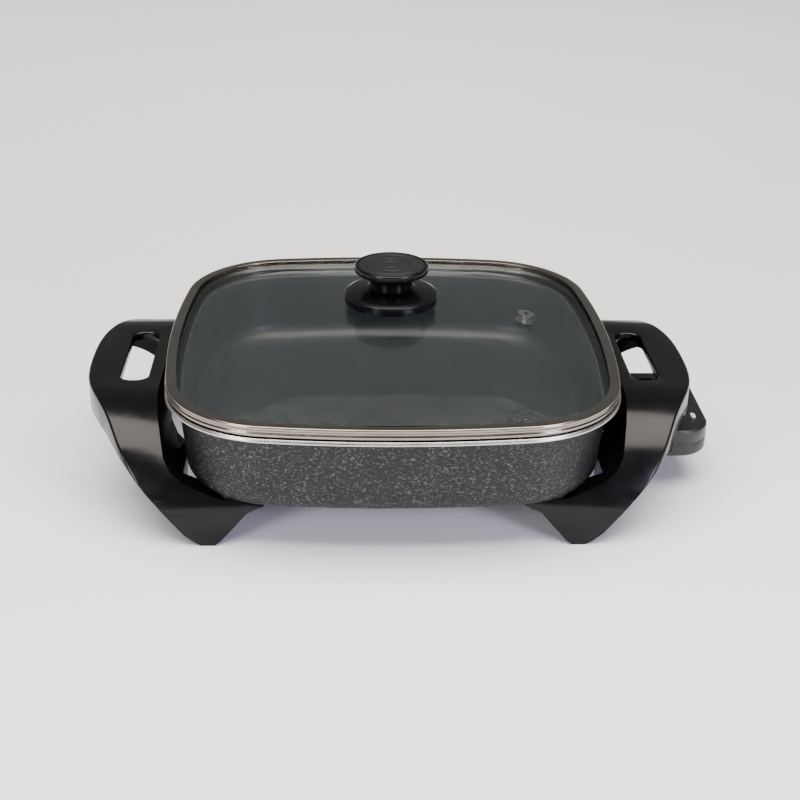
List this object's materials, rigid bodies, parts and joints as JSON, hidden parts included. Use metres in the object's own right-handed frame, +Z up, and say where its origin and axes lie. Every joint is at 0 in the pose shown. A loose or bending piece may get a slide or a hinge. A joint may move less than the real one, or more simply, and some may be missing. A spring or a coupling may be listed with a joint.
{
  "type": "electric griddle",
  "caption": "Deep square electric griddle pan with arched side handles that double as feet, a domed glass lid with a knob, and a plug-in temperature control.",
  "frame": {"origin": "on the table plane, under the middle of the whole appliance's footprint; the pan's centre is 7.5 mm towards -X of it", "axes": "+X towards the plug-in control, +Y towards the back, +Z up"},
  "size_m": [0.437, 0.312, 0.1502],
  "materials": {
    "cast_pan": "hammered charcoal enamel outside, satin non-stick coat inside",
    "phenolic": "glossy black heat-resistant phenolic moulding",
    "case_plastic": "semi-gloss black moulded housing",
    "glass": "clear tempered glass",
    "steel": "polished stainless steel",
    "plated": "bright nickel plate",
    "sheath": "heat-tinted steel sheath",
    "ceramic": "off-white steatite ceramic",
    "silicone": "soft silicone rubber",
    "brass": "plain brass",
    "block_plastic": "brown moulded insulator",
    "lamp": "neon lamp",
    "lens": "milky lens"
  },
  "bodies": {
    "base": {"pan_body": "cast_pan", "heating_element": "sheath", "heater_terminals": "plated", "terminal_insulators": "ceramic", "terminal_guard": "phenolic", "guard_screws": "plated", "left_handle": "phenolic", "right_handle": "phenolic", "handle_screws": "plated", "handle_washers": "plated"},
    "lid": {"lid_glass": "glass", "lid_band": "steel", "vent_grommet": "steel", "knob_body": "phenolic", "knob_cap": "phenolic", "knob_skirt": "phenolic", "knob_screw": "plated", "knob_washer": "plated", "knob_gasket": "silicone"},
    "control_probe": {"probe_upper_case": "case_plastic", "probe_lower_case": "case_plastic", "sensing_rod": "plated", "socket_contacts": "brass", "contact_block": "block_plastic", "thermostat_bracket": "steel", "bimetal_strip": "brass", "contact_spring": "brass", "fixed_contact": "brass", "earth_contact": "brass", "indicator_lamp": "lamp", "lamp_lens": "lens", "case_screws": "plated", "terminal_screws": "brass", "cord_gland": "silicone"},
    "dial": {"dial_knob": "case_plastic", "dial_shaft": "steel", "thermostat_cam": "block_plastic", "dial_clip": "steel"}
  },
  "joints": [
    {"name": "lid_lift", "type": "slide", "parent": "base", "child": "lid", "axis": [0, 0, 1], "range_m": [0, 0.16]},
    {"name": "control_pull", "type": "slide", "parent": "base", "child": "control_probe", "axis": [1, 0, 0], "range_m": [0, 0.13]},
    {"name": "dial_turn", "type": "hinge", "parent": "control_probe", "child": "dial", "pos_m": [0.1835, 0, 0.045], "axis": [0, 0, 1], "range_deg": [-270, 0]}
  ]
}
